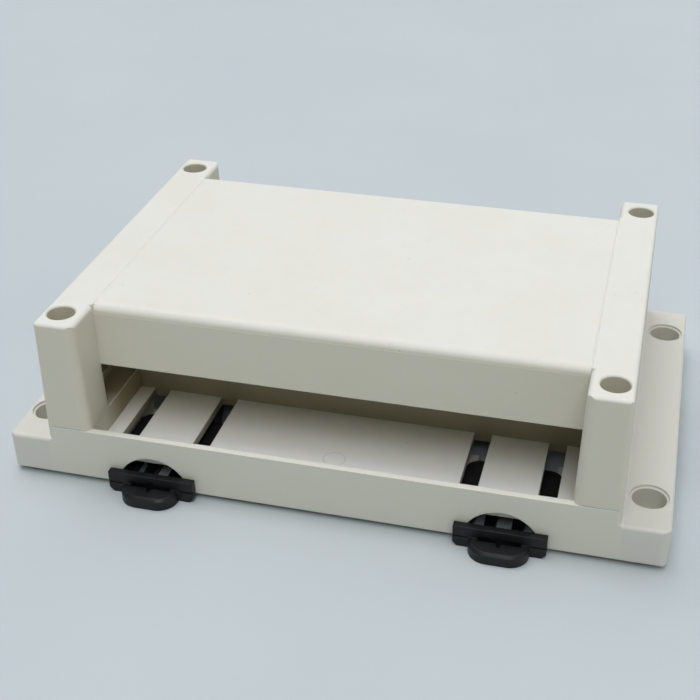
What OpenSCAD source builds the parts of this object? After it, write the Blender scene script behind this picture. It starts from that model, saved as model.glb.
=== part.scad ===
// DIN rail enclosure: a moulded base with two screw flanges, a cover held down by four
// self-tapping screws, and two sliding clips that lock the base to a 35 mm rail.
//
// Millimetres. X runs along the rail, -Y points to the clips and +Z to the cover's top. The
// origin is in the middle of the base's footprint, in the plane of its rim. The rail hooks and
// the clips stand a little below that plane.

/* [Overall] */
// Length over the two screw flanges
overall_l = 145; // [130:1:200]
// Depth from the front wall to the back wall
overall_d = 90; // [86:1:120]
// Height from the undersides of the rail hooks and clips to the top of the cover
overall_h = 40; // [37:0.5:60]

/* [Base] */
// Height of the seam between base and cover above the rim
seam_h = 12.5; // [12:0.5:15]
// Thickness of the base's upright walls
wall = 1.5; // [1.2:0.1:2]
// Thickness of its floors and decks
floor_t = 2; // [1.6:0.1:2.4]
// Height of the low floors in the two openings above the rim
floor_h = 7; // [6.5:0.1:7.5]
// Width of the block at each end, which carries a pair of the cover's legs
end_w = 10; // [9:0.5:12]
// Radius of the end blocks' outer upright corners, on the base and on the cover
corner_r = 1.1; // [0.3:0.1:1.5]
// Radius that eases the top edges of the flanges and of the cover's legs
edge_r = 0.8; // [0.3:0.1:1.2]
// Radius that eases the rim's outer edge
rim_r = 0.5; // [0.2:0.1:0.8]

/* [Screw flanges] */
// Width of each flange
flange_w = 10; // [9.5:0.5:16]
// Height of the flanges' tops above the rim
flange_h = 9; // [8:0.5:10]
// Radius of the flanges' upright corners
flange_r = 2; // [0.5:0.1:3]
// Distance of each screw hole from the front or back wall's outer face
hole_inset = 11; // [9:0.5:16]
// Radius of the wall screw's hole
hole_r = 2.25; // [1.75:0.25:2.5]
// Radius of the recess that takes the screw's head
recess_r = 3.6; // [3.2:0.1:3.7]
// Width of the shallow step around the recess
step_w = 0.5; // [0.2:0.1:0.6]
// Depth of that step
step_d = 0.6; // [0.3:0.1:1]
// Thickness of the plastic under the screw's head
recess_floor = 3; // [2:0.5:4]

/* [Rail seat] */
// Width of the rail over its two lips
rail_w = 35; // [32:0.5:36]
// Thickness of the rail's lips
rail_t = 1; // [0.8:0.1:1.5]
// How far the hooks and clips stand below the rim
hook_drop = 1.2; // [0.6:0.1:2]
// How far each fixed hook reaches over the rail's back lip
hook_bite = 1.7; // [1:0.1:2]
// Thickness of a fixed hook's web
hook_t = 3; // [2:0.5:4]
// Length of a fixed hook along the rail
hook_l = 20; // [10:1:26]
// Bevel that leads the rail's lip over a hook or a clip's nose
lead_in = 1.5; // [0.5:0.1:2.5]

/* [Cover] */
// Height of the central faces' lower edges above the rim: the top of the openings
face_h = 24.3; // [20:0.1:27]
// How far those edges lie behind the legs' outer faces
face_inset = 9.6; // [8.5:0.1:11]
// Thickness of the cover's end walls and faces
cover_wall = 2; // [1.5:0.1:2.5]
// Thickness of the cover's top
top_t = 2; // [1.5:0.1:3]
// Radius along the top edge of each central face
brow_r = 2; // [0.5:0.1:2.5]
// Radius along the top inner edge of each leg
shoulder_r = 1.2; // [0.3:0.1:1.5]
// Radius of each leg's inner upright corner
leg_r = 2; // [0.3:0.1:2.5]
// How far the legs lean in from the seam to the top on their outer side
lean_out = 0.4; // [0:0.1:0.8]
// How far they lean on their inner side
lean_in = 0.6; // [0:0.1:0.8]
// How far the central faces lean back from their lower edges to the top
lean_face = 0.5; // [0:0.1:0.8]
// Depth of the crease in the top where the end blocks begin
crease_d = 0.25; // [0.1:0.05:0.5]
// Size of the bevel on the legs' feet that draws the seam
seam_bevel = 0.25; // [0.1:0.05:0.4]

/* [Cover screws] */
// Distance of each screw from the end block's outer face
screw_inset_x = 4.4; // [4.2:0.1:5]
// Distance of each screw from the front or back wall's outer face
screw_inset_y = 5.6; // [5:0.1:6]
// Radius of the deep well over each screw
well_r = 3; // [2.85:0.05:3.1]
// Thickness of the plastic under a screw's head
web_t = 3; // [2:0.5:5]
// Length of the screw under its head
screw_l = 12; // [8:1:13]
// Radius of the screw's core
core_r = 1.25; // [1:0.05:1.35]
// Radius of the screw's head
head_r = 2.7; // [2.3:0.1:2.7]
// Height of the screw's head
head_h = 2; // [1.5:0.1:2.5]
// Radial play between the screw's core and its pilot hole
pilot_gap = 0.05; // [0.03:0.01:0.1]

/* [Rail clips] */
// Distance of each clip's middle from the opening's end
clip_inset = 14; // [13:0.5:20]
// How far a clip pulls out to let go of the rail
travel = 3; // [2.5:0.1:4]
// How far the clip's nose reaches over the rail's front lip
nose_bite = 1.5; // [1:0.1:2]
// Radius of the arched cut-out in the front wall
arch_r = 8.35; // [8:0.05:9]
// Height of the arch's crown above the low floor
arch_rise = 0.6; // [0.3:0.1:1]
// How deep the arch cuts in from the front wall's outer face
arch_d = 2.1; // [1.8:0.1:3]
// How far each ear of the clip's head laps over the wall beside the arch
ear_lap = 1.45; // [1:0.05:2]
// Thickness of the head's front plate
head_t = 1.6; // [1.2:0.1:2.4]
// Distance of the floor slots from the clip's middle
slot_in = 6.4; // [6:0.1:6.8]
// Width of the floor slots
slot_w = 4; // [3:0.1:4.5]
// Half the width of the clip's backbone
spine_x = 4.1; // [3.6:0.1:4.6]
// Half the width of the gap in the backbone
spine_gap = 1.7; // [1:0.1:2]
// Distance between the ends of the spring arms and the rail
arm_back = 5.9; // [4:0.1:8]
// Half the width of the pull tab
tab_x = 6.4; // [5.5:0.1:7]
// Length of the pull tab in front of the head
tab_l = 4.5; // [4:0.1:7]
// Thickness of the pull tab
tab_t = 2.7; // [2:0.1:3.2]
// Radius of the pull tab's front corners
tab_r = 4.2; // [2:0.1:4.4]

/* [Fits] */
// Gap between the head's ears and the front wall
ear_gap = 0.15; // [0.1:0.05:0.3]
// Sideways gap beside each clip, and the gap left when its shoulders meet the wall
slide_gap = 0.3; // [0.2:0.05:0.4]
// Upright gap between a clip and the ledges and runners that guide it
guide_gap = 0.2; // [0.1:0.05:0.3]
// Play of the rail's lips over the hooks and noses
rail_play = 0.1; // [0.05:0.05:0.3]
// Room beside the rail
rail_gap = 0.4; // [0.2:0.1:0.6]

/* [Hidden] */
$fn = 64;

ivory = [0.90, 0.89, 0.84];
black = [0.07, 0.07, 0.08];
zinc = [0.75, 0.76, 0.78];

// Overshoot of a cut past the face that it opens
cut = 1;

// Places shared by base and cover
half_l = overall_l / 2;
half_d = overall_d / 2;
end_x = half_l - flange_w;
open_x = end_x - end_w;
top_z = overall_h - hook_drop;
screw_x = end_x - screw_inset_x;
screw_y = half_d - screw_inset_y;
hole_x = half_l - flange_w / 2;
hole_y = half_d - hole_inset;
pad_y = 2 * (recess_r + step_w + wall / 2);

// The rail seats on the undersides of the low floors and of the raised centre's walls
seat_z = floor_h - floor_t;
rail_y = rail_w / 2;
raised_y = rail_y;
hook_top = seat_z - rail_t - rail_play;
hook_y = rail_y + rail_gap;

// The screws and their bosses
boss_r = core_r + wall + 0.6;
boss_z = 1;
pilot_room = 1;
pilot_z = seam_h + web_t - screw_l - pilot_room;

// The clips, each drawn about its own middle
clip_x = open_x - clip_inset;
clip_z = -hook_drop;
clip_h = hook_top - clip_z;
arch_z = floor_h + arch_rise - arch_r;
wall_in = half_d - wall;
plate_y = half_d + ear_gap;
face_y = plate_y + head_t;
shoulder_y = wall_in - slide_gap - travel;
nose_y = rail_y - nose_bite;
arm_y = rail_y + arm_back;
ear_x = arch_r + ear_lap;
arm_x = slot_in + slot_w + 0.2;
guide_x = arm_x + slide_gap;
ledge_w = 1.9;
ledge_t = 1.2;
ledge_l = 11;
leg_h = 1.8;
neck_h = 2.4;
neck_x = sqrt(pow(arch_r, 2) - pow(clip_z + neck_h - arch_z, 2)) - slide_gap;
nose_x = slot_in - 0.4;

// Repeats its children on both sides of the middle, front and back, or all four ways
module both_x() {
    for (m = [0, 1]) mirror([m, 0, 0]) children();
}

module both_y() {
    for (m = [0, 1]) mirror([0, m, 0]) children();
}

module four() {
    both_x() both_y() children();
}

// What is cut away to round an edge along +Z, with the solid towards -X and -Y
module edge_round(r, len) {
    linear_extrude(len) difference() {
        translate([-r, -r]) square(r + cut);
        translate([-r, -r]) circle(r);
    }
}

// The same for an edge along +X, with the solid towards -Y and -Z
module edge_round_x(r, len) {
    rotate([90, 0, 90]) edge_round(r, len);
}

// The same for an edge along -Y, with the solid towards -X and -Z
module edge_round_y(r, len) {
    rotate([90, 0, 0]) edge_round(r, len);
}

// ---- Base ----

module base_outside() {
    difference() {
        union() {
            translate([-half_l, -half_d, 0]) cube([overall_l, overall_d, flange_h]);
            translate([-end_x, -half_d, 0]) cube([2 * end_x, overall_d, seam_h]);
        }
        four() {
            translate([half_l, half_d, -cut]) edge_round(flange_r, seam_h);
            translate([end_x, half_d, flange_h]) edge_round(corner_r, seam_h);
            translate([end_x, half_d, flange_h]) edge_round_x(edge_r, flange_w + cut);
        }
        both_x() translate([half_l, half_d + cut, flange_h])
            edge_round_y(edge_r, overall_d + 2 * cut);
        mirror([0, 0, 1]) {
            both_x() translate([half_l, half_d + cut, 0])
                edge_round_y(rim_r, overall_d + 2 * cut);
            both_y() translate([-half_l - cut, half_d, 0])
                edge_round_x(rim_r, overall_l + 2 * cut);
        }
    }
}

module base_hollows() {
    inside_d = overall_d - 2 * wall;
    // Wells over the low floors, open to the front and back openings
    both_y() translate([-open_x, raised_y, floor_h])
        cube([2 * open_x, wall_in - raised_y, seam_h]);
    // Undersides of the low floors, the raised centre, the end blocks and the flanges
    translate([-open_x, -wall_in, -cut]) cube([2 * open_x, inside_d, seat_z + cut]);
    translate([-open_x, -(raised_y - floor_t), -cut])
        cube([2 * open_x, 2 * (raised_y - floor_t), seam_h - floor_t + cut]);
    both_x() {
        translate([open_x + wall, -wall_in, -cut])
            cube([end_w - 2 * wall, inside_d, seam_h - floor_t + cut]);
        translate([end_x, -wall_in, -cut])
            cube([flange_w - wall, inside_d, flange_h - floor_t + cut]);
    }
    // The rail's way through, from end to end
    translate([-half_l - cut, -hook_y, -cut])
        cube([overall_l + 2 * cut, 2 * hook_y, seat_z + cut]);
}

// Pads in the flanges that take the wall screws, and bosses that take the cover's screws
module base_bosses() {
    four() {
        translate([end_x - wall / 2, hole_y - pad_y / 2, 0])
            cube([flange_w, pad_y, flange_h - floor_t / 2]);
        translate([screw_x, screw_y, boss_z])
            cylinder(r = boss_r, h = seam_h - boss_z - floor_t / 2);
        translate([screw_x - wall / 2, screw_y, boss_z])
            cube([wall, screw_inset_y - wall / 2, seam_h - boss_z - floor_t / 2]);
    }
}

// Ribs that carry the raised centre over the rail
module base_ribs() {
    rib_count = 7;
    rib_pitch = 2 * open_x / (rib_count + 1);
    for (i = [1 : rib_count])
        translate([-open_x + i * rib_pitch - wall / 2, -raised_y + floor_t / 2, seat_z])
            cube([wall, 2 * raised_y - floor_t, seam_h - seat_z - floor_t / 2]);
}

// Low ribs on the end blocks that locate the cover's end walls from inside
module base_locators() {
    locator_h = 1.5;
    locator_l = screw_y - 11;
    locator_x = end_x - cover_wall - lean_out - slide_gap - wall;
    both_x() translate([locator_x, -locator_l, seam_h - floor_t / 2])
        cube([wall, 2 * locator_l, locator_h + floor_t / 2]);
}

// Fixed hooks for the rail's back lip
module base_hooks() {
    back_y = hook_y + hook_t;
    tip_y = rail_y - hook_bite;
    both_x() translate([clip_x - hook_l / 2, 0, 0]) rotate([90, 0, 90]) linear_extrude(hook_l)
        polygon([
            [back_y, clip_z], [tip_y + lead_in, clip_z], [tip_y, clip_z + lead_in],
            [tip_y, hook_top], [hook_y, hook_top],
            [hook_y, seat_z + floor_t / 2], [back_y, seat_z + floor_t / 2]
        ]);
}

// Guides for one clip: side walls, ledges under its arms and runners over its backbone
module clip_guides() {
    guide_l = wall_in + wall / 2 - hook_y;
    runner_l = shoulder_y - arm_y;
    runner_w = 1;
    runner_x = (spine_x + spine_gap) / 2 - runner_w / 2;
    both_x() {
        translate([guide_x, -hook_y - guide_l, 0]) cube([wall, guide_l, seat_z + floor_t / 2]);
        translate([guide_x - ledge_w, -hook_y - ledge_l, 0])
            cube([ledge_w + wall / 2, ledge_l, ledge_t]);
        translate([runner_x, -arm_y - runner_l, hook_top + guide_gap])
            cube([runner_w, runner_l, seat_z - hook_top - guide_gap + floor_t / 2]);
    }
}

// Openings for one clip: the arch in the front wall and the two slots over its arms
module clip_openings() {
    slot_end = 2;
    translate([0, arch_d - half_d, arch_z]) rotate([90, 0, 0])
        cylinder(r = arch_r, h = arch_d + cut);
    both_x() translate([slot_in, -wall_in + slot_end, seat_z])
        cube([slot_w, wall_in - slot_end - raised_y, floor_t + cut]);
}

module base_holes() {
    four() {
        translate([hole_x, hole_y, -cut]) cylinder(r = hole_r, h = flange_h + 2 * cut);
        translate([hole_x, hole_y, recess_floor]) cylinder(r = recess_r, h = flange_h);
        translate([hole_x, hole_y, flange_h - step_d])
            cylinder(r = recess_r + step_w, h = step_d + cut);
        translate([screw_x, screw_y, pilot_z])
            cylinder(r = core_r + pilot_gap, h = seam_h - pilot_z + cut);
    }
}

module base() {
    color(ivory) difference() {
        union() {
            difference() {
                base_outside();
                base_hollows();
            }
            base_bosses();
            base_ribs();
            base_locators();
            base_hooks();
            both_x() translate([clip_x, 0, 0]) clip_guides();
        }
        base_holes();
        both_x() translate([clip_x, 0, 0]) clip_openings();
    }
}

// ---- Cover ----

// Angles by which the legs' sides and the central faces lean
leg_h_z = top_z - seam_h;
leg_in_x = open_x + lean_in;
leg_out_x = end_x - lean_out;
brow_y = half_d - face_inset - lean_face;
face_low_y = half_d - face_inset;

// The block at the right-hand end: its two legs and the wall between them
module cover_end() {
    difference() {
        translate([0, half_d, 0]) rotate([90, 0, 0]) linear_extrude(overall_d)
            polygon([
                [open_x, seam_h], [end_x, seam_h], [leg_out_x, top_z], [leg_in_x, top_z]
            ]);
        translate([leg_out_x, half_d + cut, top_z])
            edge_round_y(edge_r, overall_d + 2 * cut);
        both_y() {
            translate([open_x, half_d, top_z]) edge_round_x(edge_r, end_w + cut);
            // Upright edges, which lean with the legs' sides
            translate([end_x, half_d, seam_h])
                rotate([0, -atan(lean_out / leg_h_z), 0])
                    translate([0, 0, -cut]) edge_round(corner_r, leg_h_z + 2 * cut);
            translate([open_x, half_d, seam_h])
                rotate([0, atan(lean_in / leg_h_z), 0])
                    translate([0, 0, -cut])
                        mirror([1, 0, 0]) edge_round(leg_r, leg_h_z + 2 * cut);
            // Top inner edge of the leg, in front of the central face
            translate([leg_in_x, half_d + cut, top_z]) mirror([1, 0, 0])
                edge_round_y(shoulder_r, half_d + cut - brow_y);
        }
    }
}

// The middle, between the end blocks, with a face to the front and to the back
module cover_middle() {
    difference() {
        translate([-leg_in_x, 0, 0]) rotate([90, 0, 90]) linear_extrude(2 * leg_in_x)
            polygon([
                [-face_low_y, face_h], [face_low_y, face_h], [brow_y, top_z], [-brow_y, top_z]
            ]);
        both_y() translate([-leg_in_x - cut, brow_y, top_z])
            edge_round_x(brow_r, 2 * (leg_in_x + cut));
    }
}

module cover_hollows() {
    room_x = leg_out_x - cover_wall;
    room_y = brow_y - cover_wall;
    leg_y = half_d - face_inset - 0.4;
    translate([-room_x, -room_y, seam_h - cut])
        cube([2 * room_x, 2 * room_y, top_z - top_t - seam_h + cut]);
    // Behind each leg, under the level of the central faces
    four() translate([open_x - cut, 0, seam_h - cut])
        cube([room_x - open_x + cut, leg_y, face_h - seam_h + cut]);
}

// One leg's screw well, the screw's hole under it and a fine bevel around its mouth
module screw_well() {
    mouth = 0.3;
    translate([screw_x, screw_y, seam_h + web_t]) cylinder(r = well_r, h = top_z);
    translate([screw_x, screw_y, seam_h - cut]) cylinder(r = core_r + 0.45, h = web_t + 2 * cut);
    translate([screw_x, screw_y, top_z - mouth])
        cylinder(r1 = well_r, r2 = well_r + 2 * mouth, h = 2 * mouth);
}

// Bevels along the feet of the end blocks
module seam_cut() {
    side = seam_bevel * sqrt(2);
    translate([end_x, -half_d - cut, seam_h]) rotate([0, 45, 0])
        translate([-side / 2, 0, -side / 2]) cube([side, overall_d + 2 * cut, side]);
    both_y() translate([open_x - cut, half_d, seam_h]) rotate([45, 0, 0])
        translate([0, -side / 2, -side / 2]) cube([end_w + 2 * cut, side, side]);
}

// A shallow V along the top where an end block begins
module crease() {
    side = crease_d * sqrt(2);
    crease_l = 2 * (brow_y - brow_r / 2);
    translate([leg_in_x, -crease_l / 2, top_z]) rotate([0, 45, 0])
        translate([-side / 2, 0, -side / 2]) cube([side, crease_l, side]);
}

module cover() {
    color(ivory) difference() {
        union() {
            both_x() cover_end();
            cover_middle();
        }
        cover_hollows();
        four() screw_well();
        both_x() {
            seam_cut();
            crease();
        }
    }
}

// ---- Cover screws ----

// A pan-headed self-tapping screw standing on its head's underside
module cover_screw() {
    tip_h = 2;
    recess_w = 0.9;
    recess_l = 3.2;
    recess_d = 1.2;
    dome_r = (pow(head_r, 2) + pow(head_h / 2, 2)) / head_h;
    color(zinc) difference() {
        union() {
            intersection() {
                cylinder(r = head_r, h = head_h);
                translate([0, 0, head_h - dome_r]) sphere(r = dome_r);
            }
            translate([0, 0, tip_h - screw_l]) cylinder(r = core_r, h = screw_l - tip_h + head_h / 2);
            translate([0, 0, -screw_l]) cylinder(r1 = 0.3, r2 = core_r, h = tip_h);
        }
        for (turn = [0, 90]) rotate(turn)
            translate([-recess_l / 2, -recess_w / 2, head_h - recess_d])
                cube([recess_l, recess_w, recess_d + cut]);
    }
}

module screw_at(side_x, side_y) {
    translate([side_x * screw_x, side_y * screw_y, seam_h + web_t]) cover_screw();
}

module cover_screw_front_left() {
    screw_at(-1, -1);
}

module cover_screw_front_right() {
    screw_at(1, -1);
}

module cover_screw_back_left() {
    screw_at(-1, 1);
}

module cover_screw_back_right() {
    screw_at(1, 1);
}

// ---- Rail clips ----

// Front plate with an ear on each side of the arch, its lower corners cut off
module clip_head() {
    ear_cut = 1;
    groove_z = clip_z + 2.3;
    groove_h = 0.5;
    groove_d = 0.4;
    difference() {
        translate([0, -plate_y, 0]) rotate([90, 0, 0]) linear_extrude(head_t)
            polygon([
                [-ear_x + ear_cut, clip_z], [ear_x - ear_cut, clip_z],
                [ear_x, clip_z + ear_cut], [ear_x, hook_top],
                [-ear_x, hook_top], [-ear_x, clip_z + ear_cut]
            ]);
        both_x() translate([tab_x, -face_y - cut, groove_z])
            cube([ear_x, groove_d + cut, groove_h]);
    }
}

// Pull tab: a half-round plate with eased edges, flat across its front
module pull_tab() {
    ease = 0.6;
    middle_y = face_y + tab_l - tab_r;
    hull() {
        both_x() translate([tab_x - tab_r, -middle_y, clip_z]) {
            cylinder(r = tab_r, h = tab_t - ease, $fn = 48);
            cylinder(r = tab_r - ease, h = tab_t, $fn = 48);
        }
        translate([-tab_x, -face_y - tab_l + tab_r, clip_z])
            cube([2 * tab_x, tab_l - tab_r + head_t / 2, tab_t - ease]);
        translate([ease - tab_x, -face_y - tab_l + tab_r, clip_z])
            cube([2 * (tab_x - ease), tab_l - tab_r + head_t / 2, tab_t]);
    }
}

// The slot for a screwdriver's blade at the foot of the head, with a pointed middle
module driver_slot() {
    slot_x = 4.6;
    slot_y = 0.7;
    lip = 0.45;
    lip_z = clip_z + tab_t + 0.5;
    notch_x = 1.3;
    notch_y = 2.25;
    translate([-slot_x, -face_y - slot_y, clip_z - cut])
        cube([2 * slot_x, slot_y + lip, lip_z - clip_z + cut]);
    translate([0, 0, clip_z - cut]) linear_extrude(lip_z - clip_z + cut)
        polygon([[-notch_x, -face_y + lip], [notch_x, -face_y + lip], [0, -face_y - notch_y]]);
    translate([0, -face_y + lip, lip_z]) rotate([90, 0, 0]) cylinder(r = notch_x / 2, h = lip + cut);
}

// Backbone: two low legs in the arch, then a cored block that ends in the nose
module clip_spine() {
    block_y = shoulder_y - travel / 2;
    gap_end = block_y - 4;
    nose_l = 6.5;
    core_wall = 1.2;
    core_l = gap_end - nose_y - nose_l - 2 * core_wall;
    difference() {
        union() {
            both_x() translate([spine_gap, -plate_y - head_t / 2, clip_z])
                cube([spine_x - spine_gap, plate_y + head_t / 2 - block_y, leg_h]);
            translate([-spine_x, -block_y, clip_z])
                cube([2 * spine_x, block_y - nose_y - nose_l / 2, clip_h]);
            translate([-nose_x, 0, 0]) rotate([90, 0, 90]) linear_extrude(2 * nose_x)
                polygon([
                    [-nose_y - nose_l, clip_z], [-nose_y - 2 * lead_in, clip_z],
                    [-nose_y, hook_top - lead_in / 2], [-nose_y, hook_top],
                    [-nose_y - nose_l, hook_top]
                ]);
        }
        translate([-spine_gap, -block_y - cut, clip_z - cut])
            cube([2 * spine_gap, block_y - gap_end + cut, clip_h + 2 * cut]);
        translate([-spine_x + core_wall, -gap_end + core_wall, clip_z - cut])
            cube([2 * (spine_x - core_wall), core_l, clip_h - core_wall + cut]);
    }
}

// Spring arms: slim necks in the arch, wider arms behind the wall, free at the back
module clip_arms() {
    end_r = 3;
    arm_w = arm_x - slot_in;
    rebate_x = guide_x - ledge_w - guide_gap;
    rebate_z = ledge_t + guide_gap;
    both_x() {
        translate([slot_in, -plate_y - head_t / 2, clip_z])
            cube([neck_x - slot_in, plate_y + head_t / 2 - shoulder_y + cut, neck_h]);
        difference() {
            translate([slot_in, -shoulder_y, clip_z]) cube([arm_w, shoulder_y - arm_y, clip_h]);
            translate([arm_x, -arm_y, clip_z - cut]) edge_round(end_r, clip_h + 2 * cut);
            translate([rebate_x, -shoulder_y - cut, clip_z - cut])
                cube([arm_w, shoulder_y + 2 * cut, rebate_z - clip_z + cut]);
        }
    }
}

module rail_clip() {
    color(black) difference() {
        union() {
            clip_head();
            pull_tab();
            clip_spine();
            clip_arms();
        }
        driver_slot();
    }
}

module rail_clip_left() {
    translate([-clip_x, 0, 0]) rail_clip();
}

module rail_clip_right() {
    translate([clip_x, 0, 0]) rail_clip();
}

base();
cover();
rail_clip_left();
rail_clip_right();
cover_screw_front_left();
cover_screw_front_right();
cover_screw_back_left();
cover_screw_back_right();
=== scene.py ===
"""Looks for the DIN rail enclosure: its plastics and steel, a floor, light and a camera."""
import math

import bpy
from mathutils import Matrix, Vector


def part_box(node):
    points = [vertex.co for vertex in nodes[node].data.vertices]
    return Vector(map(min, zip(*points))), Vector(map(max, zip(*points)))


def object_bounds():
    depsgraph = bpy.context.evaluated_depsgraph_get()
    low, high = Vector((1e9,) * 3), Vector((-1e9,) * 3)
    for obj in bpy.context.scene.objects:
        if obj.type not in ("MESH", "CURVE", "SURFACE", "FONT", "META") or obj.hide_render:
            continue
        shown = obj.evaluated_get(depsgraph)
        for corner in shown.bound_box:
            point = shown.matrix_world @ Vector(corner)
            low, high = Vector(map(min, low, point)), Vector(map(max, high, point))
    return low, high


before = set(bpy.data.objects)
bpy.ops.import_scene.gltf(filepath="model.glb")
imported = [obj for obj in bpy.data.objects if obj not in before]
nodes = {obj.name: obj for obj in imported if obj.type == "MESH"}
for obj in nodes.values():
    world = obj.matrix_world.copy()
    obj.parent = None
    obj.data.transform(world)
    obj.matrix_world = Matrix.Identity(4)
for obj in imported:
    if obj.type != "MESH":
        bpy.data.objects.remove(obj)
cad_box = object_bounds()
MM = 0.001

# Where the housing's painted shade and light and its pin ring lie. X and Y are distances from the
# middle, because the halves mirror each other.
cover_low, cover_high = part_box("cover")
END_X = cover_high[0]  # outer faces of the end blocks
END_IN_X = END_X - 1.4 * MM  # just outside the inner faces of their walls
OPEN_X = END_X - 10 * MM  # ends of the two openings
WALL_IN_Y = cover_high[1] - 1.5 * MM  # inner faces of the base's front and back walls
BROW_Y = cover_high[1] - 8.5 * MM  # just outside the cover's central faces
RAISED_Y = 17.5 * MM  # front and back of the base's raised centre
BROW_Z = cover_high[2] - 14.5 * MM  # lower edges of the cover's central faces
SEAM_Z = cover_low[2]
FLOOR_BOTTOM, FLOOR_TOP = 5 * MM, 7 * MM  # the base's low floors


# ---- Node helpers ----

def add(tree, kind, inputs=None, **settings):
    """A new node. Its inputs take sockets, which are linked, or plain values."""
    made = tree.nodes.new(kind)
    for name, value in settings.items():
        setattr(made, name, value)
    for name, value in (inputs or {}).items():
        if isinstance(value, bpy.types.NodeSocket):
            tree.links.new(value, made.inputs[name])
        else:
            made.inputs[name].default_value = value
    return made


def noise(tree, place, size, detail=2.0, roughness=0.5, stretch=None):
    """Noise from 0 to 1 with features of about this size, in metres."""
    if stretch:
        place = add(tree, "ShaderNodeMapping", {
            "Vector": place, "Scale": stretch}).outputs["Vector"]
    made = add(tree, "ShaderNodeTexNoise", {
        "Vector": place, "Scale": 1 / size, "Detail": detail, "Roughness": roughness})
    return made.outputs["Fac"]


def spread(tree, value, low, high, to_low=0.0, to_high=1.0):
    """Maps low..high to to_low..to_high, held at the ends."""
    made = add(tree, "ShaderNodeMapRange", {
        "Value": value, "From Min": low, "From Max": high, "To Min": to_low, "To Max": to_high})
    return made.outputs["Result"]


def math_node(tree, what, a, b=0.0):
    """One sum of the kind that Blender calls what."""
    made = add(tree, "ShaderNodeMath", {0: a, 1: b}, operation=what)
    return made.outputs[0]


def times(tree, first, *others):
    """The product of two or more values."""
    for other in others:
        first = math_node(tree, "MULTIPLY", first, other)
    return first


def away(tree, value, place):
    """How far a coordinate is from a place, on either side of it."""
    return math_node(tree, "ABSOLUTE", math_node(tree, "SUBTRACT", value, place))


def blend_colours(tree, share, a, b):
    factor, colour_a, colour_b, result = 0, 6, 7, 2  # places of the colour sockets
    made = add(tree, "ShaderNodeMix", {factor: share, colour_a: a, colour_b: b},
               data_type="RGBA")
    return made.outputs[result]


def bump(tree, height, normal, distance, strength):
    made = add(tree, "ShaderNodeBump", {
        "Height": height, "Normal": normal, "Distance": distance, "Strength": strength})
    return made.outputs["Normal"]


def edges(tree, radius):
    """(normal rounded over the edges, share from 0 on flat ground to 1 on an edge)."""
    rounded = add(tree, "ShaderNodeBevel", {"Radius": radius}, samples=6).outputs["Normal"]
    true = add(tree, "ShaderNodeNewGeometry").outputs["True Normal"]
    same = add(tree, "ShaderNodeVectorMath", {0: rounded, 1: true}, operation="DOT_PRODUCT")
    return rounded, spread(tree, same.outputs["Value"], 0.985, 0.80)


def begin(name):
    """A new material with its shader, and the coordinates its patterns use."""
    material = bpy.data.materials.new(name)
    material.use_nodes = True
    tree = material.node_tree
    shader = next(n for n in tree.nodes if n.type == "BSDF_PRINCIPLED")
    place = add(tree, "ShaderNodeTexCoord").outputs["Object"]
    return material, tree, shader, place


# ---- Materials ----

def finish_shader(tree, shader, colour, rough, normal):
    tree.links.new(colour, shader.inputs["Base Color"])
    tree.links.new(rough, shader.inputs["Roughness"])
    tree.links.new(normal, shader.inputs["Normal"])


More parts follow.
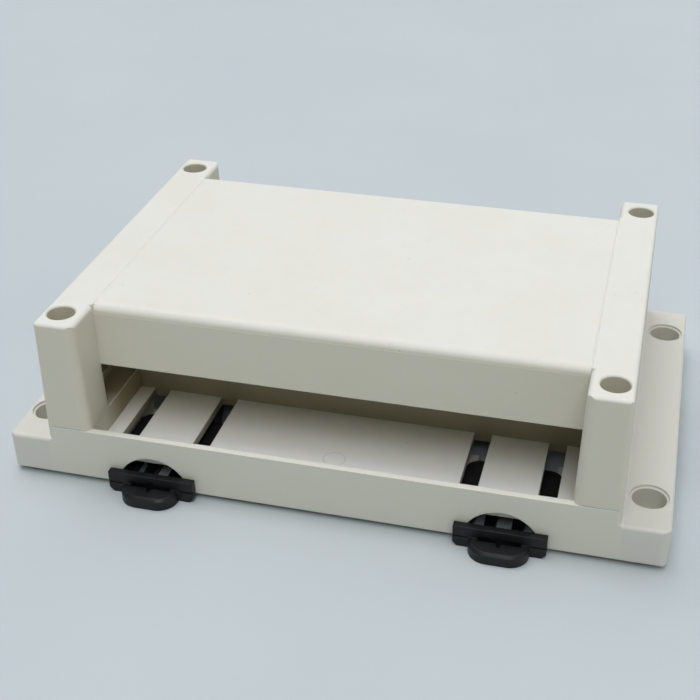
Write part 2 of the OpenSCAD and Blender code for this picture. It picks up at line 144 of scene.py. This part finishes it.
def housing_places(tree, place):
    """Shares from 0 to 1 that say where a point of the housing lies."""
    normal = add(tree, "ShaderNodeNewGeometry").outputs["Normal"]
    facing_z = add(tree, "ShaderNodeSeparateXYZ", {"Vector": normal}).outputs["Z"]
    upright = spread(tree, math_node(tree, "ABSOLUTE", facing_z), 0.6, 0.1)
    axes = add(tree, "ShaderNodeSeparateXYZ", {"Vector": place})
    x = math_node(tree, "ABSOLUTE", axes.outputs["X"])
    y = math_node(tree, "ABSOLUTE", axes.outputs["Y"])
    z = axes.outputs["Z"]

    # The room under the cover: over the low floors and the raised centre, between the ends
    above = spread(tree, z, FLOOR_BOTTOM - 0.2 * MM, FLOOR_BOTTOM)
    below = spread(tree, z, BROW_Z, BROW_Z - 1 * MM)
    between = spread(tree, x, END_IN_X + 0.2 * MM, END_IN_X)
    in_well = times(tree, spread(tree, y, RAISED_Y - 0.8 * MM, RAISED_Y - 0.4 * MM),
                    spread(tree, x, OPEN_X + 0.5 * MM, OPEN_X + 0.3 * MM))
    over_centre = spread(tree, z, SEAM_Z - 0.4 * MM, SEAM_Z - 0.2 * MM)
    well_or_centre = math_node(tree, "MAXIMUM", in_well, over_centre)
    room = times(tree, above, below, times(tree, between, well_or_centre))

    # Painted shade: upright walls far in the room's middle, and everything in its ends
    middle = times(tree, spread(tree, y, BROW_Y - 6 * MM, BROW_Y - 16 * MM),
                   spread(tree, upright, 0.0, 1.0, 0.0, 0.85))
    ends = times(tree, spread(tree, x, OPEN_X - 6 * MM, OPEN_X),
                 spread(tree, y, BROW_Y + 0.5 * MM, BROW_Y - 8 * MM))
    deep = times(tree, math_node(tree, "MAXIMUM", middle, ends), room)

    # Level ground at the low floors' height, for the painted light on the floors and the pin ring,
    # and the undersides of the front wall's arches, for painted shade
    on_floor = times(tree, spread(tree, away(tree, z, FLOOR_TOP), 0.3 * MM, 0.1 * MM),
                     spread(tree, upright, 0.9, 0.5))
    arch = times(tree, spread(tree, y, WALL_IN_Y, WALL_IN_Y + 0.1 * MM),
                 spread(tree, facing_z, -0.2, -0.6),
                 times(tree, above, spread(tree, z, SEAM_Z - 0.3 * MM, SEAM_Z - 0.5 * MM)))

    # Distance from the ring that an ejector pin left on each low floor
    flat = add(tree, "ShaderNodeCombineXYZ", {"X": x, "Y": y}).outputs["Vector"]
    from_pin = add(tree, "ShaderNodeVectorMath", {0: flat, 1: (0, BROW_Y - 2 * MM, 0)},
                   operation="DISTANCE").outputs["Value"]
    off_ring = away(tree, from_pin, 2.4 * MM)
    return {
        "upright": upright,
        "deep": deep,
        # Where light and shade are painted on the low floors
        "floor": times(tree, on_floor, times(tree, room, in_well)),
        "by_opening": spread(tree, y, RAISED_Y + 4 * MM, BROW_Y - 2 * MM),
        "flange": spread(tree, x, END_X, END_X + 0.5 * MM),
        "arch": arch,
        "ring": times(tree, spread(tree, off_ring, 0.25 * MM, 0.05 * MM), on_floor),
    }


def housing_plastic(name, upright_painted_shade):
    """Off-white moulded ABS with a fine grain. Shade is painted into its corners, upright faces,
    flanges, arch undersides and the room under the cover, and light is painted on its low floors
    and worn edges.
    """
    material, tree, shader, place = begin(name)
    normal, edge = edges(tree, 0.35 * MM)
    cloudy = noise(tree, place, 22 * MM, 3.0)
    mottled = noise(tree, place, 3.5 * MM, 3.0, 0.6)
    grain = noise(tree, place, 0.28 * MM, 3.0, 0.7)
    flow = noise(tree, place, 9 * MM, 1.0, 0.5, (0.35, 1.0, 1.0))
    speck = add(tree, "ShaderNodeTexVoronoi", {
        "Vector": place, "Scale": 1 / (7 * MM)}).outputs["Distance"]
    closed = add(tree, "ShaderNodeAmbientOcclusion", {"Distance": 5 * MM}, samples=8).outputs["AO"]
    share = housing_places(tree, place)

    corner_painted_shade = times(tree, spread(tree, closed, 0.6, 0.15), spread(tree, mottled, 0.2, 0.7, 0.5, 1.0))
    paler_edges = times(tree, edge, spread(tree, mottled, 0.35, 0.65, 0.5, 0.95),
                 spread(tree, closed, 0.45, 0.7))
    # Painted light and shade on the low floors: pale by the openings, darker and warmer towards
    # the raised centre
    floor = blend_colours(tree, share["by_opening"], (0.80, 0.78, 0.68, 1), (0.91, 0.91, 0.90, 1))
    colour = blend_colours(tree, spread(tree, cloudy, 0.35, 0.65),
                           (0.80, 0.80, 0.76, 1), (0.785, 0.78, 0.725, 1))
    layers = (
        (spread(tree, mottled, 0.42, 0.75, 0.0, 0.06), (0.62, 0.59, 0.50, 1)),
        # Painted shade: the upright faces are a little deeper in tone than the top, because they
        # get less light
        (times(tree, share["upright"], 0.85), upright_painted_shade),
        # Painted shade in the tight corners, made patchy by the mottling
        (times(tree, corner_painted_shade, 0.3), (0.55, 0.53, 0.44, 1)),
        # Painted shade: the walls under the cover are darker and browner. Painted light: the low
        # floors are pale by the openings
        (share["deep"], (0.33, 0.275, 0.155, 1)),
        (share["floor"], floor),
        # Painted shade: the flanges are a little greyer than the top, because the body keeps some
        # light from them
        (times(tree, share["flange"], 0.75), (0.64, 0.635, 0.59, 1)),
        # Painted shade: the undersides of the front wall's arches are dark
        (times(tree, share["arch"], 0.9), (0.22, 0.21, 0.17, 1)),
        # Paler edges: partly wear from handling, partly a painted highlight
        (paler_edges, (0.95, 0.955, 0.925, 1)),
        (times(tree, share["ring"], 0.25), (0.45, 0.45, 0.40, 1)),
        # A few tiny dark specks in the resin
        (spread(tree, speck, 0.035, 0.02, 0.0, 0.35), (0.30, 0.27, 0.20, 1)),
    )
    for amount, tint in layers:
        colour = blend_colours(tree, amount, colour, tint)

    rough = spread(tree, math_node(tree, "ADD", grain, flow), 0.6, 1.4, 0.40, 0.56)
    rough = math_node(tree, "SUBTRACT", rough, times(tree, edge, 0.08))
    normal = bump(tree, flow, normal, 0.08 * MM, 0.25)
    normal = bump(tree, grain, normal, 0.03 * MM, 0.35)
    finish_shader(tree, shader, colour, rough, normal)
    shader.inputs["IOR"].default_value = 1.5
    shader.inputs["Subsurface Weight"].default_value = 0.25
    shader.inputs["Subsurface Radius"].default_value = (1.0, 0.8, 0.5)
    shader.inputs["Subsurface Scale"].default_value = 1.2 * MM
    return material


def clip_plastic(name):
    """Black satin nylon, greyer along its rubbed edges and faintly dusty."""
    material, tree, shader, place = begin(name)
    normal, edge = edges(tree, 0.3 * MM)
    cloudy = noise(tree, place, 4 * MM, 3.0)
    grain = noise(tree, place, 0.22 * MM, 3.0, 0.7)
    dust = noise(tree, place, 0.9 * MM, 4.0, 0.7)

    colour = blend_colours(tree, spread(tree, cloudy, 0.3, 0.7),
                           (0.004, 0.0045, 0.006, 1), (0.008, 0.009, 0.011, 1))
    colour = blend_colours(tree, spread(tree, dust, 0.5, 0.8, 0.0, 0.15), colour,
                           (0.04, 0.042, 0.045, 1))
    paler_edges = times(tree, edge, spread(tree, cloudy, 0.35, 0.65, 0.1, 0.6))
    colour = blend_colours(tree, paler_edges, colour, (0.035, 0.038, 0.043, 1))

    rough = spread(tree, math_node(tree, "ADD", grain, cloudy), 0.6, 1.4, 0.35, 0.52)
    normal = bump(tree, cloudy, normal, 0.1 * MM, 0.25)
    normal = bump(tree, grain, normal, 0.03 * MM, 0.4)
    finish_shader(tree, shader, colour, rough, normal)
    shader.inputs["Specular IOR Level"].default_value = 0.35
    return material


def screw_steel(name):
    """Zinc-plated steel, turned and a little dulled."""
    material, tree, shader, place = begin(name)
    normal, edge = edges(tree, 0.12 * MM)
    cloudy = noise(tree, place, 1.2 * MM, 4.0, 0.6)
    turned = noise(tree, place, 0.3 * MM, 2.0, 0.6, (1.0, 1.0, 6.0))

    colour = blend_colours(tree, spread(tree, cloudy, 0.3, 0.7),
                           (0.60, 0.61, 0.62, 1), (0.42, 0.42, 0.41, 1))
    colour = blend_colours(tree, times(tree, edge, 0.5), colour, (0.75, 0.76, 0.77, 1))
    rough = spread(tree, math_node(tree, "ADD", turned, cloudy), 0.6, 1.4, 0.22, 0.48)
    normal = bump(tree, turned, normal, 0.02 * MM, 0.4)
    finish_shader(tree, shader, colour, rough, normal)
    shader.inputs["Metallic"].default_value = 1.0
    return material


def dress(node, material):
    """Gives a CAD node its material, in every slot."""
    if not node.material_slots:
        node.data.materials.append(material)
    for slot in node.material_slots:
        slot.material = material


# A node takes the first finish whose name its own name starts with
finishes = {
    "cover_screw": screw_steel("screw_steel"),
    "base": housing_plastic("base_plastic", upright_painted_shade=(0.65, 0.64, 0.55, 1)),
    "cover": housing_plastic("cover_plastic", upright_painted_shade=(0.64, 0.615, 0.50, 1)),
    "rail_clip": clip_plastic("clip_plastic"),
}
for name, node in nodes.items():
    dress(node, next(made for start, made in finishes.items() if name.startswith(start)))


# ---- Floor, light and camera ----

def floor_material():
    """Plain pale matt surface with a faint unevenness."""
    material, tree, shader, place = begin("floor_surface")
    broad = noise(tree, place, 90 * MM, 3.0)
    fine = noise(tree, place, 2.5 * MM, 4.0, 0.65)
    colour = blend_colours(tree, spread(tree, broad, 0.3, 0.7),
                           (0.567, 0.625, 0.663, 1), (0.543, 0.60, 0.64, 1))
    tree.links.new(colour, shader.inputs["Base Color"])
    normal = add(tree, "ShaderNodeNewGeometry").outputs["Normal"]
    tree.links.new(bump(tree, fine, normal, 0.3 * MM, 0.2), shader.inputs["Normal"])
    shader.inputs["Roughness"].default_value = 0.85
    shader.inputs["Specular IOR Level"].default_value = 0.2
    return material


def make_floor(half, height):
    """A square floor that reaches half its width from the middle."""
    corners = [(x * half, y * half, height) for x, y in ((-1, -1), (1, -1), (1, 1), (-1, 1))]
    mesh = bpy.data.meshes.new("floor")
    mesh.from_pydata(corners, [], [(0, 1, 2, 3)])
    made = bpy.data.objects.new("floor", mesh)
    mesh.materials.append(floor_material())
    bpy.context.collection.objects.link(made)


def far_light(name, place, width, power, colour):
    """A soft far light that shines from place towards the part, width degrees wide in the sky."""
    data = bpy.data.lights.new(name, "SUN")
    data.angle = math.radians(width)
    data.energy = power
    data.color = colour
    made = bpy.data.objects.new(name, data)
    made.location = place
    made.rotation_mode = "QUATERNION"
    made.rotation_quaternion = Vector(place).to_track_quat("Z", "Y")
    bpy.context.collection.objects.link(made)


def sky(colour, horizon):
    """A dim even sky that turns pale just above the horizon, as a far studio wall does."""
    world = bpy.data.worlds.new("sky")
    world.use_nodes = True
    tree = world.node_tree
    background = next(n for n in tree.nodes if n.type == "BACKGROUND")
    direction = add(tree, "ShaderNodeTexCoord").outputs["Generated"]
    up = add(tree, "ShaderNodeSeparateXYZ", {"Vector": direction}).outputs["Z"]
    high = spread(tree, math_node(tree, "ABSOLUTE", up), 0.02, 0.32)
    tree.links.new(blend_colours(tree, high, horizon, colour), background.inputs["Color"])
    bpy.context.scene.world = world


def make_camera(place, yaw, pitch, roll, lens, shift):
    """yaw turns left from +Y, pitch is downwards and roll turns the picture, in degrees."""
    data = bpy.data.cameras.new("camera")
    data.lens = lens
    data.sensor_width = 36
    data.shift_x, data.shift_y = shift
    data.clip_start, data.clip_end = 0.01, 20
    made = bpy.data.objects.new("camera", data)
    turn = (Matrix.Rotation(math.radians(yaw), 4, "Z")
            @ Matrix.Rotation(math.radians(90 - pitch), 4, "X")
            @ Matrix.Rotation(math.radians(roll), 4, "Z"))
    made.matrix_world = Matrix.Translation(place) @ turn
    bpy.context.collection.objects.link(made)
    bpy.context.scene.camera = made


LIGHTS = (
    # name, place, width in the sky in degrees, power, colour
    ("back_left", (-0.35, 0.55, 0.93), 43, 0.60, (0.98, 0.98, 1.0)),
    ("above_left", (-0.45, 0.10, 0.98), 31, 0.58, (0.98, 0.98, 1.0)),
    ("back_right", (0.50, 0.55, 0.88), 43, 0.33, (0.8, 0.92, 1.0)),
    ("above", (0.0, 0.0, 1.2), 37, 0.50, (1.0, 1.0, 1.0)),
    ("front", (0.10, -0.66, 1.04), 36, 1.08, (0.98, 0.99, 0.97)),
    ("back", (0.0, 1.3, 0.36), 41, 0.26, (1.0, 1.0, 1.0)),
    ("right", (1.0, -0.1, 0.48), 40, 0.31, (1.0, 0.86, 0.72)),
)
# The floor lies a hair below the clips and hooks, so that no faces coincide
FLOOR_GAP = 0.05 * MM

make_floor(30.0, cad_box[0].z - FLOOR_GAP)
sky(colour=(0.10, 0.096, 0.088, 1), horizon=(0.50, 0.56, 0.60, 1))
for light in LIGHTS:
    far_light(*light)
make_camera(place=(0.06133, -0.24410, 0.16980), yaw=14.23, pitch=31.25, roll=-0.28,
            lens=63.8, shift=(-0.0286, -0.0143))
bpy.context.scene.view_settings.view_transform = "Standard"
